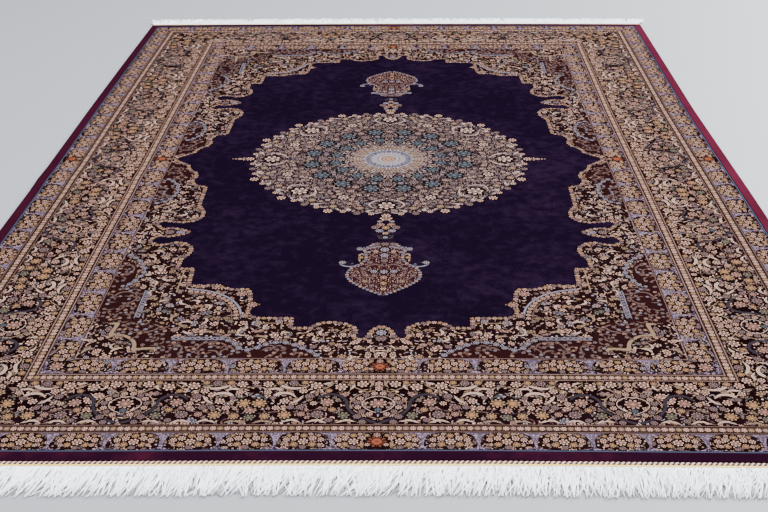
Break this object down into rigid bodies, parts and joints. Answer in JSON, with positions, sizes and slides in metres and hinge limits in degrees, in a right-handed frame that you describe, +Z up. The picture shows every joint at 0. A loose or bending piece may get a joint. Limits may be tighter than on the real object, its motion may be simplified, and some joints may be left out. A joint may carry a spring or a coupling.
{
  "type": "persian rug",
  "caption": "Hand-knotted medallion rug lying flat, with a dark open field, floral borders, a stitched cord and a white fringe at each end.",
  "frame": {"origin": "on the floor under the middle of the rug", "axes": "+X across the rug, +Y along its length towards the far end, +Z up out of the pile"},
  "size_m": [2.0108, 3.23, 0.009],
  "materials": {
    "silk_pile": "short cut silk pile, dark aubergine field with cream floral borders",
    "end_cord": "cream and wine overcast stitching",
    "fringe_yarn": "matt white twisted yarn"
  },
  "bodies": {
    "root": {"pile_body": "silk_pile", "stitched_cord_near": "end_cord", "stitched_cord_far": "end_cord", "fringe_near": "fringe_yarn", "fringe_far": "fringe_yarn"}
  },
  "joints": []
}
